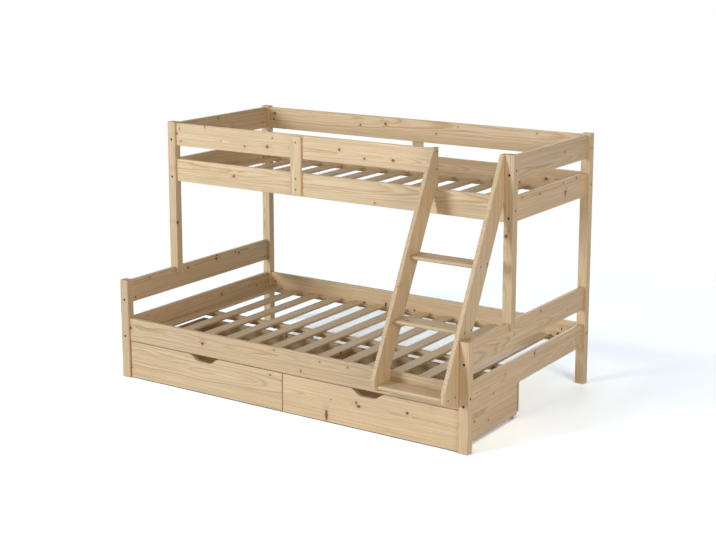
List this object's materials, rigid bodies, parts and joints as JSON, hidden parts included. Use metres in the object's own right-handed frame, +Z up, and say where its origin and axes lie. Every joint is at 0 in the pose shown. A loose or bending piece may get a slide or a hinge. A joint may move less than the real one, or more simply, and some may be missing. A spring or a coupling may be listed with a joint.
{
  "type": "bunk bed",
  "caption": "Pine bunk bed for three: a narrow bunk above a wide slatted bed, with a leaning ladder and under-bed drawers on castors.",
  "frame": {"origin": "on the floor, under the middle of the bounding box, which takes in the ladder's foot", "axes": "+X along the bed towards the ladder end, +Y from the open front to the wall side, +Z up"},
  "size_m": [2.08, 1.3922, 1.31],
  "materials": {
    "pine": "solid planed pine, clear matt lacquer",
    "pine_slat": "sawn and planed pine slat stock",
    "plywood": "thin plywood, sanded",
    "castor_plastic": "moulded black nylon",
    "wheel_plastic": "moulded dark grey nylon"
  },
  "bodies": {
    "frame": {"post_front_left": "pine", "post_front_right": "pine", "post_upper_left": "pine", "post_upper_right": "pine", "post_rear_left": "pine", "post_rear_right": "pine", "end_board_bed_left": "pine", "end_board_headboard_left": "pine", "end_board_bunk_left": "pine", "end_board_guard_left": "pine", "end_board_bed_right": "pine", "end_board_headboard_right": "pine", "end_board_bunk_right": "pine", "end_board_guard_right": "pine", "rail_bed_front": "pine", "rail_bed_rear": "pine", "rail_bunk_front": "pine", "rail_bunk_rear": "pine", "guard_front": "pine", "guard_rear": "pine", "batten_front": "pine_slat", "batten_rear": "pine_slat", "slats_bed": "pine_slat", "slats_bunk": "pine_slat", "strip_bed_front": "pine", "beam_bed": "pine", "strip_bunk_front": "pine", "leg_left": "pine", "leg_right": "pine", "stringer_left": "pine", "stringer_right": "pine", "tread_1": "pine_slat", "tread_2": "pine_slat", "tread_3": "pine_slat"},
    "drawer_left": {"drawer_front_left": "pine", "drawer_side_outer_left": "pine", "drawer_side_inner_left": "pine", "drawer_back_left": "pine", "drawer_panel_left": "plywood", "castor_left_front_left": "castor_plastic", "castor_left_front_right": "castor_plastic", "castor_left_rear_left": "castor_plastic", "castor_left_rear_right": "castor_plastic"},
    "drawer_right": {"drawer_front_right": "pine", "drawer_side_outer_right": "pine", "drawer_side_inner_right": "pine", "drawer_back_right": "pine", "drawer_panel_right": "plywood", "castor_right_front_left": "castor_plastic", "castor_right_front_right": "castor_plastic", "castor_right_rear_left": "castor_plastic", "castor_right_rear_right": "castor_plastic"},
    "wheel_left_front_left": {"wheel_left_front_left": "wheel_plastic"},
    "wheel_left_front_right": {"wheel_left_front_right": "wheel_plastic"},
    "wheel_left_rear_left": {"wheel_left_rear_left": "wheel_plastic"},
    "wheel_left_rear_right": {"wheel_left_rear_right": "wheel_plastic"},
    "wheel_right_front_left": {"wheel_right_front_left": "wheel_plastic"},
    "wheel_right_front_right": {"wheel_right_front_right": "wheel_plastic"},
    "wheel_right_rear_left": {"wheel_right_rear_left": "wheel_plastic"},
    "wheel_right_rear_right": {"wheel_right_rear_right": "wheel_plastic"}
  },
  "joints": [
    {"name": "drawer_left_slide", "type": "slide", "parent": "frame", "child": "drawer_left", "axis": [0, -1, 0], "range_m": [0, 0.5]},
    {"name": "drawer_right_slide", "type": "slide", "parent": "frame", "child": "drawer_right", "axis": [0, -1, 0], "range_m": [0, 0.5]},
    {"name": "wheel_left_front_left_spin", "type": "hinge", "parent": "drawer_left", "child": "wheel_left_front_left", "pos_m": [-0.9738, -0.5127, 0.015], "axis": [1, 0, 0], "continuous": true},
    {"name": "wheel_left_front_right_spin", "type": "hinge", "parent": "drawer_left", "child": "wheel_left_front_right", "pos_m": [-0.0142, -0.5127, 0.015], "axis": [1, 0, 0], "continuous": true},
    {"name": "wheel_left_rear_left_spin", "type": "hinge", "parent": "drawer_left", "child": "wheel_left_rear_left", "pos_m": [-0.9738, -0.0189, 0.015], "axis": [1, 0, 0], "continuous": true},
    {"name": "wheel_left_rear_right_spin", "type": "hinge", "parent": "drawer_left", "child": "wheel_left_rear_right", "pos_m": [-0.0142, -0.0189, 0.015], "axis": [1, 0, 0], "continuous": true},
    {"name": "wheel_right_front_left_spin", "type": "hinge", "parent": "drawer_right", "child": "wheel_right_front_left", "pos_m": [0.0142, -0.5127, 0.015], "axis": [1, 0, 0], "continuous": true},
    {"name": "wheel_right_front_right_spin", "type": "hinge", "parent": "drawer_right", "child": "wheel_right_front_right", "pos_m": [0.9738, -0.5127, 0.015], "axis": [1, 0, 0], "continuous": true},
    {"name": "wheel_right_rear_left_spin", "type": "hinge", "parent": "drawer_right", "child": "wheel_right_rear_left", "pos_m": [0.0142, -0.0189, 0.015], "axis": [1, 0, 0], "continuous": true},
    {"name": "wheel_right_rear_right_spin", "type": "hinge", "parent": "drawer_right", "child": "wheel_right_rear_right", "pos_m": [0.9738, -0.0189, 0.015], "axis": [1, 0, 0], "continuous": true}
  ],
  "couplings": [
    {"joint": "wheel_left_front_left_spin", "follows": "drawer_left_slide", "rad_per_m": 66.667},
    {"joint": "wheel_left_front_right_spin", "follows": "drawer_left_slide", "rad_per_m": 66.667},
    {"joint": "wheel_left_rear_left_spin", "follows": "drawer_left_slide", "rad_per_m": 66.667},
    {"joint": "wheel_left_rear_right_spin", "follows": "drawer_left_slide", "rad_per_m": 66.667},
    {"joint": "wheel_right_front_left_spin", "follows": "drawer_right_slide", "rad_per_m": 66.667},
    {"joint": "wheel_right_front_right_spin", "follows": "drawer_right_slide", "rad_per_m": 66.667},
    {"joint": "wheel_right_rear_left_spin", "follows": "drawer_right_slide", "rad_per_m": 66.667},
    {"joint": "wheel_right_rear_right_spin", "follows": "drawer_right_slide", "rad_per_m": 66.667}
  ]
}
